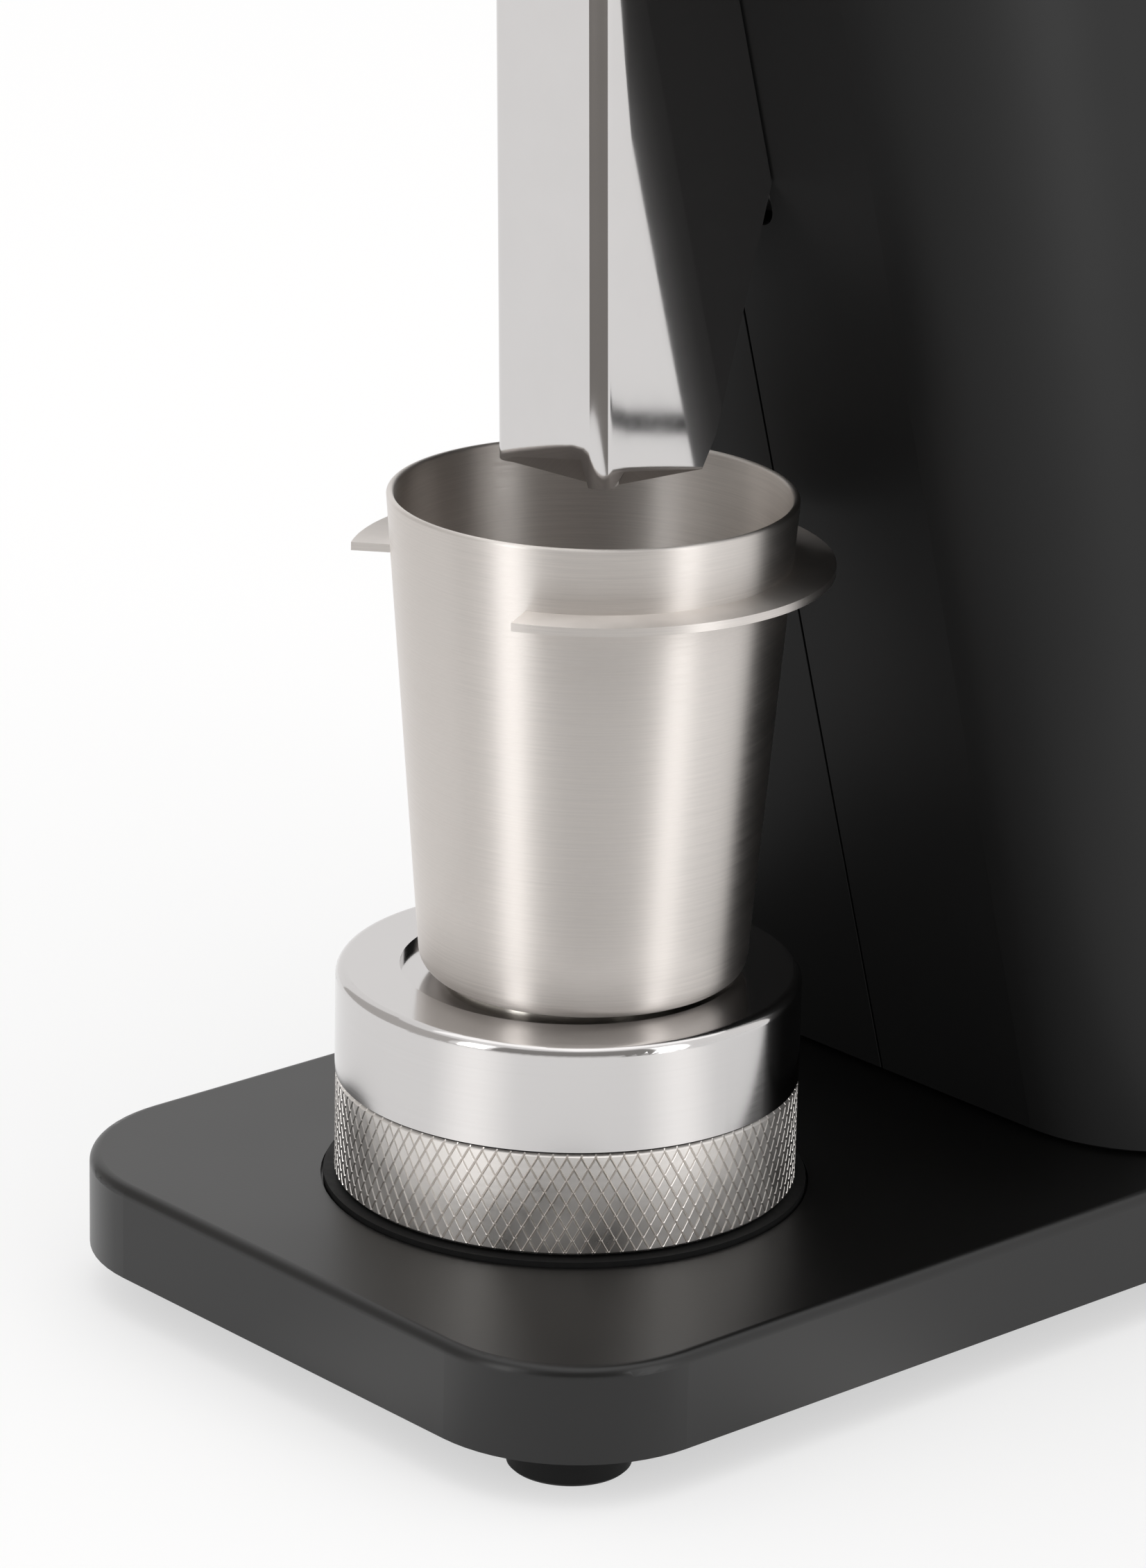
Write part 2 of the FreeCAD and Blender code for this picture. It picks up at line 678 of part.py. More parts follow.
def make_shell():
    """Leaning rounded tube, cut level at the base, with slot, seam and rear opening."""
    body = new_body("body_shell", "head")
    outline = new_sketch(body, "XY_Plane", "dim.body_low")
    draw_rectangle(outline, "-dim.body_width / 2", "-dim.body_depth / 2",
                   "dim.body_width / 2", "dim.body_depth / 2")
    pad(body, outline, "dim.body_top - dim.body_low")
    round_edges(body, is_vertical, "dim.body_corner")
    inside = new_sketch(body, "XY_Plane", "dim.body_top + 1")
    half_width = "(dim.body_width / 2 - dim.body_wall)"
    half_depth = "(dim.body_depth / 2 - dim.body_wall)"
    radius = "(dim.body_corner - dim.body_wall)"
    draw_rounded(inside, half_width, half_depth, radius)
    pocket(body, inside, "dim.body_top - dim.body_low + 2")
    level = new_sketch(body, "YZ_Plane")
    slope = "tan(dim.lean_angle * 1deg)"
    rise = "(dim.joint_gap / cos(dim.lean_angle * 1deg))"
    draw_polygon(level, [
        ("-80", "-60"), ("80", "-60"),
        ("80", f"{rise} - 80 * {slope}"), ("-80", f"{rise} + 80 * {slope}")])
    pocket(body, level, "2 * dim.body_width", both_ways=True)

    slot = new_sketch(body, "XZ_Plane", "dim.body_depth / 2 - dim.body_wall - 1")
    draw_rectangle(slot, "-dim.slot_half_width", "dim.slot_low",
                   "dim.slot_half_width", "dim.slot_high")
    pocket(body, slot, "dim.body_wall + 2", reverse=True)
    slot_half = value("dim.slot_half_width")

    def on_slot_end(edge):
        box = edge.BoundBox
        across = abs(box.YLength - edge.Length) < 1e-6
        return across and abs(abs(box.XMin) - slot_half) < 1e-4

    round_edges(body, on_slot_end, "dim.slot_corner")
    seam = new_sketch(body, "XZ_Plane", "dim.body_depth / 2 - dim.seam_depth")
    draw_rectangle(seam, "-dim.seam_width / 2", "-5", "dim.seam_width / 2", "dim.body_top + 1")
    pocket(body, seam, "dim.seam_depth + 1", reverse=True)
    rear = new_sketch(body, "XZ_Plane", "-dim.body_depth / 2 + dim.body_wall + 1")
    draw_rectangle(rear, "-dim.panel_width / 2 + 6", "dim.panel_low + 6",
                   "dim.panel_width / 2 - 6", "dim.panel_high - 6")
    pocket(body, rear, "dim.body_wall + 2")


def make_shell_fittings():
    """Gasket and floor plate at the base, slot bracket with magnets, and the top cover."""
    slope = "tan(dim.lean_angle * 1deg)"
    floor = new_body("body_floor", "row")
    floor.setExpression("Placement.Base.y", f"{HEAD_Y} * 1mm")
    outline = new_sketch(floor, "XY_Plane", BASE_TOP)
    draw_rounded(outline, "(dim.body_width / 2 - dim.floor_inset)",
                 "(dim.body_depth / 2 - dim.floor_inset)", "dim.floor_corner")
    pad(floor, outline, "dim.floor_thickness")
    holes = new_sketch(floor, "XY_Plane", BASE_TOP)
    for side in ("", "-"):
        for end in ("", "-"):
            draw_circle(holes, "dim.screw_radius - dim.screw_hole_clearance",
                        f"{side}dim.floor_screw_x", f"{end}dim.floor_screw_y")
    draw_circle(holes, "dim.wire_hole_radius")
    pocket(floor, holes, "dim.floor_thickness", reverse=True)

    # The gasket follows the tube's own level cut, 1 mm inside it all round.
    gasket = new_body("body_gasket", "head")
    outline = new_sketch(gasket, "XY_Plane", "dim.body_low")
    draw_rounded(outline, "(dim.body_width / 2 - 1)", "(dim.body_depth / 2 - 1)",
                 "(dim.body_corner - 1)")
    draw_rounded(outline, "(dim.body_width / 2 - dim.body_wall)",
                 "(dim.body_depth / 2 - dim.body_wall)", "(dim.body_corner - dim.body_wall)")
    pad(gasket, outline, "60")
    for side in ("below", "above"):
        cut = new_sketch(gasket, "YZ_Plane")
        rise = "0" if side == "below" else "(dim.joint_gap / cos(dim.lean_angle * 1deg))"
        far = "-90" if side == "below" else "90"
        draw_polygon(cut, [("-80", f"{rise} + 80 * {slope}"), ("80", f"{rise} - 80 * {slope}"),
                           ("80", far), ("-80", far)])
        pocket(gasket, cut, "2 * dim.body_width", both_ways=True)

    inner_face = "(-dim.body_depth / 2 + dim.body_wall)"
    bracket = block("slot_bracket", "head", "-dim.bracket_half_width", inner_face,
                    "dim.bracket_half_width", f"{inner_face} + dim.bracket_thickness",
                    "dim.slot_low - 10", "dim.port_low - 6")
    magnets = new_sketch(bracket, "XZ_Plane",
                         "dim.body_depth / 2 - dim.body_wall - dim.bracket_thickness - 1")
    heights = ("dim.slot_low + 20", "dim.slot_low + 50")
    for height in heights:
        draw_circle(magnets, "dim.magnet_radius + dim.running_gap", "0", height)
    pocket(bracket, magnets, "dim.bracket_thickness + 2", reverse=True)
    radius = value("dim.magnet_radius")
    thickness = value("dim.bracket_thickness")
    depth = value(inner_face)
    grouped("chute_magnets", "head", [
        Part.makeCylinder(radius, thickness, V(0, depth, value(height)), V(0, 1, 0))
        for height in heights])

    cover = new_body("top_cover", "head")
    outline = new_sketch(cover, "XY_Plane", "dim.body_top")
    draw_rounded(outline, "(dim.body_width / 2)", "(dim.body_depth / 2)", "dim.body_corner")
    draw_circle(outline, "dim.cover_bore")
    pad(cover, outline, "dim.deck_top - dim.body_top")
    top = value("dim.deck_top")
    round_edges(cover, lambda edge: at_height(top)(edge) and edge.BoundBox.XLength < 120
                and not is_bore(edge, value("dim.cover_bore")), "1.5")
    ring("index_marker", "head", "0", "1", "dim.deck_top - 3", "dim.deck_top + 0.3")
    marker = nodes["index_marker"]
    reach = "(dim.dial_radius + 1.4)"
    lean = "dim.lean_angle * 1deg"
    marker.setExpression("Placement.Base.y", f"({HEAD_Y} - {reach} * cos({lean})) * 1mm")
    marker.setExpression("Placement.Base.z", f"({BASE_TOP} - {reach} * sin({lean})) * 1mm")


# ---------------------------------------------------------------- motor

def make_motor():
    """Housing, end bells, stator, windings, rotor, shaft and bearings on the leaning axis."""
    ring("motor_housing", "head", "dim.motor_radius - dim.motor_wall", "dim.motor_radius",
         "dim.motor_low", "dim.motor_high")
    bell_bore = "dim.motor_radius - dim.motor_wall"
    turned("lower_end_bell", "head", [
        ("dim.shaft_radius + 1", "dim.motor_low - dim.bell_thickness + 4"),
        ("dim.motor_radius", "dim.motor_low - dim.bell_thickness + 4"),
        ("dim.motor_radius", "dim.motor_low"),
        (bell_bore, "dim.motor_low"),
        (bell_bore, "dim.motor_low + 2"),
        ("dim.bearing_radius + 3", "dim.motor_low + 2"),
        ("dim.bearing_radius + 3", "dim.motor_low + dim.bearing_height"),
        ("dim.bearing_radius", "dim.motor_low + dim.bearing_height"),
        ("dim.bearing_radius", "dim.motor_low"),
        ("dim.shaft_radius + 1", "dim.motor_low")])
    ring("stator_core", "head", "dim.stator_inner", bell_bore, "dim.stator_low", "dim.stator_high")

    def winding(low):
        outer = Part.makeCylinder(value("dim.winding_outer"), value("dim.winding_length"), low)
        return outer.cut(Part.makeCylinder(value("dim.winding_inner"), 50, low))

    grouped("stator_windings", "head", [
        winding(V(0, 0, value("dim.stator_high"))),
        winding(V(0, 0, value("dim.stator_low - dim.winding_length")))])
    ring("rotor", "head", "dim.shaft_radius", "dim.rotor_radius",
         "dim.stator_low", "dim.stator_high")
    turned("motor_shaft", "head", [
        ("0", "dim.motor_low"),
        ("dim.shaft_radius", "dim.motor_low"),
        ("dim.shaft_radius", "dim.shaft_high"),
        ("0", "dim.shaft_high")])
    running = "dim.shaft_radius + dim.running_gap"
    ring("lower_bearing", "head", running, "dim.bearing_radius",
         "dim.motor_low", "dim.motor_low + dim.bearing_height")

    deck = new_body("motor_deck", "head")
    outline = new_sketch(deck, "XY_Plane", "dim.motor_high")
    draw_rounded(outline, "(dim.body_width / 2 - dim.body_wall - dim.deck_gap)",
                 "(dim.body_depth / 2 - dim.body_wall - dim.deck_gap - dim.bracket_thickness)",
                 "(dim.body_corner - dim.body_wall - dim.deck_gap)")
    draw_circle(outline, "dim.bearing_radius")
    pad(deck, outline, "dim.deck_thickness")
    ring("upper_bearing", "head", running, "dim.bearing_radius",
         "dim.motor_high", "dim.motor_high + dim.bearing_height")
    ring("deck_spacer", "head", "dim.chamber_bore - 6", "dim.chamber_bore",
         "dim.motor_high + dim.deck_thickness", "dim.chamber_low")


# ---------------------------------------------------------------- grinding chamber

def make_chamber():
    """Chamber with its outlet port, lining, seal and springs."""
    seal_radius = "dim.shaft_radius + 7"
    chamber = turned("grinding_chamber", "head", [
        (seal_radius, "dim.chamber_low"),
        ("dim.chamber_radius", "dim.chamber_low"),
        ("dim.chamber_radius", "dim.chamber_high"),
        ("dim.chamber_bore", "dim.chamber_high"),
        ("dim.chamber_bore", "dim.chamber_low + dim.chamber_floor"),
        (seal_radius, "dim.chamber_low + dim.chamber_floor")])
    port = new_sketch(chamber, "XZ_Plane", "dim.chamber_bore - 15")
    draw_rectangle(port, "-dim.port_half_width", "dim.port_low",
                   "dim.port_half_width", "dim.port_high")
    pocket(chamber, port, "30", reverse=True)
    ring("chamber_seal", "head", "dim.shaft_radius + dim.running_gap", seal_radius,
         "dim.chamber_low", "dim.chamber_low + dim.chamber_floor")

    # The spout carries the grounds from the chamber's port through the wall's slot.
    spout = new_body("outlet_spout", "head")
    low_y = "(dim.body_depth / 2 - dim.body_wall + 2)"
    outer = new_sketch(spout, "XZ_Plane", low_y)
    draw_rectangle(outer, "-dim.port_half_width + 0.05", "dim.port_low + 0.05",
                   "dim.port_half_width - 0.05", "dim.port_high - 0.05")
    draw_rectangle(outer, "-dim.port_half_width + dim.port_lining",
                   "dim.port_low + dim.port_lining",
                   "dim.port_half_width - dim.port_lining", "dim.port_high - dim.port_lining")
    length = f"{low_y} - 42"
    pad(spout, outer, length).Reversed = True

    # Three short springs hold the upper burr carrier up against the dial's thread.
    low = value("dim.chamber_high")
    high = value(f"{UPPER_BURR_HIGH} + dim.carrier_guide - 0.3")
    circle = value("dim.spring_circle")
    springs = []
    for i in range(3):
        angle = math.radians(90 + 120 * i)
        foot = V(circle * math.cos(angle), circle * math.sin(angle), low)
        coil = Part.makeCylinder(value("dim.spring_outer"), high - low, foot)
        coil = coil.cut(Part.makeCylinder(value("dim.spring_inner"), high, foot))
        springs.append(coil)
    grouped("preload_springs", "head", springs)


def make_burrs():
    """Lower carrier with sweepers, the two flat burrs, and the upper carrier with its neck."""
    carrier = turned("lower_burr_carrier", "head", [
        ("dim.shaft_radius", "dim.carrier_low"),
        ("dim.carrier_radius", "dim.carrier_low"),
        ("dim.carrier_radius", "dim.carrier_high"),
        ("dim.shaft_radius", "dim.carrier_high")])
    wing = new_sketch(carrier, "XY_Plane", "dim.carrier_low")
    draw_rectangle(wing, "dim.burr_radius + 2", "-1.5", "dim.sweeper_reach", "1.5")
    feature = pad(carrier, wing, "dim.carrier_high - dim.carrier_low")
    pattern(carrier, [feature], "4")

    def burr(name, low, teeth_up):
        body = ring(name, "head", "dim.burr_bore", "dim.burr_radius", low,
                    f"{low} + dim.burr_thickness")
        plane = f"{low} + dim.burr_thickness" if teeth_up else low
        tooth = new_sketch(body, "XY_Plane", plane)
        draw_rectangle(tooth, "dim.burr_bore - 2", "2", "dim.burr_radius + 2",
                       "2 + dim.burr_tooth_width")
        cut = pocket(body, tooth, "dim.burr_tooth_depth", reverse=not teeth_up)
        pattern(body, [cut], "18")

    burr("lower_burr", "dim.carrier_high", True)
    burr("upper_burr", UPPER_BURR_LOW, False)
    flange_low = f"{UPPER_BURR_HIGH} + dim.carrier_guide"
    flange_high = f"{flange_low} + dim.carrier_flange"
    turned("upper_burr_carrier", "head", [
        ("dim.throat_radius", UPPER_BURR_HIGH),
        ("dim.upper_carrier_radius", UPPER_BURR_HIGH),
        ("dim.upper_carrier_radius", flange_low),
        ("dim.carrier_flange_radius", flange_low),
        ("dim.carrier_flange_radius", flange_high),
        ("dim.neck_inner", flange_high),
        ("dim.throat_radius", f"{UPPER_BURR_HIGH} + 6")])
    ring("carrier_neck", "head", "dim.neck_inner", "dim.neck_outer", flange_high, "dim.neck_high")


# ---------------------------------------------------------------- dial, hopper and lid

def make_top():
    """Adjustment dial with its sleeve, hopper with its collar and spigot, lid and knob."""
    dial = ring("adjustment_dial", "head", "dim.dial_bore", "dim.dial_radius",
                "dim.dial_low", "dim.dial_high")
    high = value("dim.dial_high")
    round_edges(dial, lambda edge: at_height(high)(edge)
                and is_bore(edge, value("dim.dial_radius")), "1.5", "PartDesign::Chamfer")
    flute = new_sketch(dial, "XY_Plane", "dim.dial_low - 1")
    draw_circle(flute, "dim.dial_flute_radius", "dim.dial_radius + 0.5", "0")
    cut = pocket(dial, flute, "dim.dial_high - dim.dial_low - 3", reverse=True)
    pattern(dial, [cut], "dim.dial_flutes")
    ring("dial_sleeve", "head", "dim.dial_bore", "dim.dial_sleeve",
         "dim.dial_sleeve_low", "dim.dial_low")

    flange_top = "(dim.hopper_skirt + dim.hopper_flange)"
    ring("hopper_spigot", "head", "dim.hopper_throat", "dim.hopper_spigot",
         "dim.hopper_low", "dim.hopper_skirt")
    turned("hopper_collar", "head", [
        ("dim.hopper_throat", "dim.hopper_skirt"),
        ("dim.hopper_flange_radius", "dim.hopper_skirt"),
        ("dim.hopper_flange_radius", f"{flange_top} - 1"),
        ("dim.hopper_flange_radius - 1", flange_top),
        ("dim.hopper_throat", flange_top)])
    turned("hopper", "head", [
        ("dim.hopper_throat", flange_top),
        ("dim.hopper_radius", flange_top),
        ("dim.hopper_radius", "dim.hopper_high"),
        ("dim.hopper_radius - dim.hopper_wall", "dim.hopper_high"),
        ("dim.hopper_radius - dim.hopper_wall", f"{flange_top} + 6"),
        ("dim.hopper_throat", f"{flange_top} + 1")])
    turned("hopper_lid", "head", [
        ("0", "dim.hopper_high - dim.lid_plug_depth"),
        ("dim.lid_plug", "dim.hopper_high - dim.lid_plug_depth"),
        ("dim.lid_plug", "dim.hopper_high"),
        ("dim.lid_radius", "dim.hopper_high"),
        ("dim.lid_radius", "dim.hopper_high + dim.lid_thickness - 1"),
        ("dim.lid_radius - 1", "dim.hopper_high + dim.lid_thickness"),
        ("0", "dim.hopper_high + dim.lid_thickness")])
    lid_top = "dim.hopper_high + dim.lid_thickness"
    turned("lid_knob", "head", [
        ("0", lid_top),
        ("dim.knob_radius - 3", lid_top),
        ("dim.knob_radius - 3", f"{lid_top} + 3"),
        ("dim.knob_radius", f"{lid_top} + 5"),
        ("dim.knob_radius", f"{lid_top} + dim.knob_height - 1"),
        ("dim.knob_radius - 1", f"{lid_top} + dim.knob_height"),
        ("0", f"{lid_top} + dim.knob_height")])


# ---------------------------------------------------------------- rear panel

def make_rear():
    """Panel on the back wall, with the appliance inlet and the rocker switch."""
    back = "(-dim.body_depth / 2)"
    panel = new_body("rear_panel", "head")
    outline = new_sketch(panel, "XZ_Plane", back)
    draw_rectangle(outline, "-dim.panel_width / 2", "dim.panel_low",
                   "dim.panel_width / 2", "dim.panel_high")
    for half_width, half_height, centre in (
            ("dim.inlet_width / 2", "dim.inlet_height / 2", "dim.inlet_centre"),
            ("dim.switch_width / 2", "dim.switch_height / 2", "dim.switch_centre")):
        draw_rectangle(outline, f"-{half_width}", f"{centre} - {half_height}",
                       half_width, f"{centre} + {half_height}")
    feature = pad(panel, outline, "dim.panel_thickness")
    feature.Reversed = True
    half_panel = value("dim.panel_width / 2")
    round_edges(panel, lambda edge: abs(edge.BoundBox.YLength - edge.Length) < 1e-6
                and abs(abs(edge.BoundBox.XMin) - half_panel) < 1e-4, "dim.panel_corner")

    def hollow_case(name, width, height, centre, depth, inner_width, inner_height, inner_depth):
        """A box through the panel, open at the back, with its outer face 1 mm proud of it."""
        outer_face = "(-dim.body_depth / 2 - dim.panel_thickness - 1)"
        body = new_body(name, "head")
        outline = new_sketch(body, "XZ_Plane", outer_face)
        draw_rectangle(outline, f"-{width} / 2", f"{centre} - {height} / 2",
                       f"{width} / 2", f"{centre} + {height} / 2")
        pad(body, outline, depth)
        hollow = new_sketch(body, "XZ_Plane", f"{outer_face} - 1")
        draw_rectangle(hollow, f"-{inner_width} / 2", f"{centre} - {inner_height} / 2",
                       f"{inner_width} / 2", f"{centre} + {inner_height} / 2")
        pocket(body, hollow, f"{inner_depth} + 1", reverse=True)
        return body

    hollow_case("power_inlet", "(dim.inlet_width - 0.2)", "(dim.inlet_height - 0.2)",
                "dim.inlet_centre", "dim.inlet_depth",
                "dim.socket_width", "dim.socket_height", "dim.socket_depth")
    floor_y = value("dim.body_depth / 2 + dim.panel_thickness + 1 - dim.socket_depth")
    middle = value("dim.inlet_centre")
    pins = [Part.makeBox(2, value("dim.pin_length"), 4, V(x - 1, floor_y, middle + z - 2))
            for x, z in ((-7, 1.5), (0, -2.5), (7, 1.5))]
    grouped("inlet_pins", "head", pins)
    hollow_case("switch_housing", "(dim.switch_width - 0.2)", "(dim.switch_height - 0.2)",
                "dim.switch_centre", "dim.switch_depth",
                "(dim.switch_width - 3)", "(dim.switch_height - 3)", "7")

    # The rocker tips about a line across its middle, inside the switch housing.
    rocker = new_body("switch_rocker", "head")
    sketch = new_sketch(rocker, "YZ_Plane")
    outer = "(dim.body_depth / 2 + dim.panel_thickness + 1)"
    half = "(dim.rocker_height / 2)"
    draw_polygon(sketch, [
        (f"{outer} - 4", f"dim.switch_centre - {half} + 1.2"),
        (f"{outer} + 0.4", f"dim.switch_centre - {half} + 0.3"),
        (f"{outer} - 0.2", "dim.switch_centre"),
        (f"{outer} + 2.2", f"dim.switch_centre + {half} - 1.1"),
        (f"{outer} - 4", f"dim.switch_centre + {half} - 1.6")])
    pad(rocker, sketch, "dim.rocker_width", both_ways=True)

    wall_y = value("dim.body_depth / 2 + dim.panel_thickness")
    corners = [(x, z) for x in (-24, 24)
               for z in (value("dim.panel_low") + 5, value("dim.panel_high") - 5)]
    grouped("panel_screws", "head", [
        Part.makeCylinder(2.6, 1.4, V(x, wall_y, z), V(0, 1, 0)) for x, z in corners])


# ---------------------------------------------------------------- electronics

def make_electronics():
    """Control board on standoffs over the floor plate, with its capacitor and motor driver."""
    middle = HEAD_Y
    floor = f"({BASE_TOP} + dim.floor_thickness)"
    low = f"({BASE_TOP} + dim.board_rise)"
    block("control_board", "row", "-dim.board_width / 2", f"{middle} - dim.board_length / 2",
          "dim.board_width / 2", f"{middle} + dim.board_length / 2",
          low, f"{low} + dim.board_thickness")
    top = value(f"{low} + dim.board_thickness")
    floor_z = value(floor)
    y = value(middle)
    reach_x = value("dim.standoff_x")
    reach_y = value("dim.standoff_y")
    grouped("board_standoffs", "row", [
        Part.makeCylinder(value("dim.standoff_radius"), value(low) - floor_z,
                          V(side_x * reach_x, y + side_y * reach_y, floor_z))
        for side_x in (-1, 1) for side_y in (-1, 1)])
    radius = value("dim.capacitor_radius")
    capacitor = Part.makeCylinder(radius, value("dim.capacitor_length"), V(-16, y + 8, top))
    grouped("capacitor", "row", [capacitor])
    grouped("driver_modules", "row", [
        Part.makeBox(20, 24, 12, V(6, y - 4, top)),
        Part.makeBox(30, 8, 16, V(-16, y - 20, top))])


def make_screws():
    """Screws under the base: two for the post and four for the body's floor plate."""
    head_z = value("dim.foot_height + dim.trough_depth - 2 * dim.screw_radius")
    post_x = value("dim.post_screw_x")
    floor_x = value("dim.floor_screw_x")
    floor_y = value("dim.floor_screw_y")
    grouped("post_screws", "row", [
        screw(side * post_x, value(PEDESTAL_Y), head_z, 18) for side in (-1, 1)])
    grouped("body_screws", "row", [
        screw(side * floor_x, value(HEAD_Y) + end * floor_y, head_z, 13)
        for side in (-1, 1) for end in (-1, 1)])


make_base()
make_base_cover()
make_feet()
make_pedestal()
make_cup()
make_cup_collar()
make_chute()
make_chute_tab()
make_shell()
make_shell_fittings()
make_motor()
make_chamber()
make_burrs()
make_top()
make_rear()
make_electronics()
make_screws()
doc.recompute()

for item in doc.Objects:
    if "Invalid" in item.State or "Error" in item.State:
        raise RuntimeError(f"{item.Name} is {item.State}")
os.makedirs("parts", exist_ok=True)
for name, item in nodes.items():
    if item.Shape.isNull() or not item.Shape.isValid():
        raise RuntimeError(f"{name} has no valid shape")
    item.Shape.exportStep(f"parts/{name}.step")
    box = item.Shape.BoundBox
    print(f"{name}: {len(item.Shape.Solids)} solids, {item.Shape.Volume:.0f} mm3, "
          f"x {box.XMin:.1f}..{box.XMax:.1f} y {box.YMin:.1f}..{box.YMax:.1f} "
          f"z {box.ZMin:.1f}..{box.ZMax:.1f}")
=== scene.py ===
"""Looks of the leaning-body coffee grinder: camera, studio, materials and finer pieces."""

import bpy
import json
import math
from mathutils import Matrix, Vector


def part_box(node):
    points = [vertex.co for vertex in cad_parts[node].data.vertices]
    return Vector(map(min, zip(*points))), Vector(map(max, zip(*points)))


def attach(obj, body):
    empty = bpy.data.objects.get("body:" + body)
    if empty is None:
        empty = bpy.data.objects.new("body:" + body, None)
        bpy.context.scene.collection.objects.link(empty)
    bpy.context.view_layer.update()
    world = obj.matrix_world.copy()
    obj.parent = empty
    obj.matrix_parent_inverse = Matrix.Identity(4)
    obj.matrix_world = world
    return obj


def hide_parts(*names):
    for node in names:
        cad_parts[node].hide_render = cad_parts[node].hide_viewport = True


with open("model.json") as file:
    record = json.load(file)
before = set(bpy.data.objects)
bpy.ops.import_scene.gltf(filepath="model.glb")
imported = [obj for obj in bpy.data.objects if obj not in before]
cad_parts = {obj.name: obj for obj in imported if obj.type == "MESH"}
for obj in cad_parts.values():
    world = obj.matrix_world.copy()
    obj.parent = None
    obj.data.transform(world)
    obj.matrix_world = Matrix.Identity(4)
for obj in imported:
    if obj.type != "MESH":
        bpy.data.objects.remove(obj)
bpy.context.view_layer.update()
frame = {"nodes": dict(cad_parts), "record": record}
MM = 0.001


def middle(node):
    """The centre of a CAD node's box at rest."""
    low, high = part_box(node)
    return (low + high) / 2


BASE_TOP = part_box("base_plate")[1].z
PEDESTAL_X, PEDESTAL_Y = middle("cup_platform").xy
LEAN = 15.3


# ---------------------------------------------------------------- camera

def make_camera():
    """A long lens from the front right, looking down at the cup, rolled slightly."""
    aim_height = 59.5 * MM
    distance = 0.880
    target = Vector((PEDESTAL_X, PEDESTAL_Y, BASE_TOP + aim_height))
    azimuth = math.radians(47.92)
    elevation = math.radians(18.63)
    roll = math.radians(1.27)
    forward = Vector((-math.sin(azimuth) * math.cos(elevation),
                      math.cos(azimuth) * math.cos(elevation),
                      -math.sin(elevation)))
    level = Vector((math.cos(azimuth), math.sin(azimuth), 0))
    above = level.cross(forward)
    right = level * math.cos(roll) + above * math.sin(roll)
    up = above * math.cos(roll) - level * math.sin(roll)
    data = bpy.data.cameras.new("camera")
    data.sensor_width = 36
    data.lens = 142.2
    data.clip_start = 0.01
    camera = bpy.data.objects.new("camera", data)
    bpy.context.scene.collection.objects.link(camera)
    axes = Matrix((right, up, -forward)).transposed().to_4x4()
    camera.matrix_world = Matrix.Translation(target - forward * distance) @ axes
    bpy.context.scene.camera = camera


# ---------------------------------------------------------------- node helpers

class Nodes:
    """A new node material, with short ways to add and join its nodes."""

    def __init__(self, name, **shader):
        self.material = bpy.data.materials.new(name)
        self.material.use_nodes = True
        self.tree = self.material.node_tree
        self.shader = self.tree.nodes["Principled BSDF"]
        for socket, number in shader.items():
            self.shader.inputs[socket.replace("_", " ")].default_value = number

    def add(self, kind, **settings):
        """A node with its properties and its sockets set."""
        node = self.tree.nodes.new(kind)
        for name, setting in settings.items():
            if hasattr(node, name):
                setattr(node, name, setting)
            else:
                node.inputs[name.replace("_", " ")].default_value = setting
        return node

    def join(self, source, target):
        self.tree.links.new(source, target)

    def stretched(self, scale, lean=0.0):
        """Object coordinates turned back from a lean, in degrees, and scaled per axis."""
        coordinates = self.add("ShaderNodeTexCoord")
        mapping = self.add("ShaderNodeMapping", vector_type="TEXTURE")
        mapping.inputs["Rotation"].default_value = (math.radians(lean), 0, 0)
        mapping.inputs["Scale"].default_value = [1 / factor for factor in scale]
        self.join(coordinates.outputs["Object"], mapping.inputs["Vector"])
        return mapping.outputs["Vector"]

    def noise(self, vector, detail, roughness=0.5):
        node = self.add("ShaderNodeTexNoise", Scale=1.0, Detail=detail, Roughness=roughness)
        self.join(vector, node.inputs["Vector"])
        return node.outputs["Fac"]

    def range(self, factor, low, high, start=0.0, end=1.0):
        """A factor spread linearly over a new range."""
        node = self.add("ShaderNodeMapRange")
        node.inputs["From Min"].default_value = start
        node.inputs["From Max"].default_value = end
        node.inputs["To Min"].default_value = low
        node.inputs["To Max"].default_value = high
        self.join(factor, node.inputs["Value"])
        return node.outputs["Result"]

    def ramp(self, factor, low, high):
        """A factor spread between two colours."""
        node = self.add("ShaderNodeValToRGB")
        node.color_ramp.elements[0].color = (*low, 1)
        node.color_ramp.elements[1].color = (*high, 1)
        self.join(factor, node.inputs["Fac"])
        return node.outputs["Color"]

    def bump(self, height, strength, distance):
        node = self.add("ShaderNodeBump")
        node.inputs["Strength"].default_value = strength
        node.inputs["Distance"].default_value = distance
        self.join(height, node.inputs["Height"])
        self.join(node.outputs["Normal"], self.shader.inputs["Normal"])


# ---------------------------------------------------------------- materials

def satin_coat(name, low, high, roughness, sheen):
    """Fine powder coat: a faint orange peel and small changes of sheen."""
    nodes = Nodes(name, Specular_IOR_Level=sheen)
    fine = nodes.noise(nodes.stretched((2600, 2600, 2600)), 2)
    broad = nodes.noise(nodes.stretched((14, 14, 14)), 3)
    nodes.join(nodes.ramp(broad, low, high), nodes.shader.inputs["Base Color"])
    nodes.join(nodes.range(broad, roughness - 0.03, roughness + 0.03, 0.3, 0.7),
               nodes.shader.inputs["Roughness"])
    nodes.bump(fine, 0.12, 0.00004)
    return nodes.material


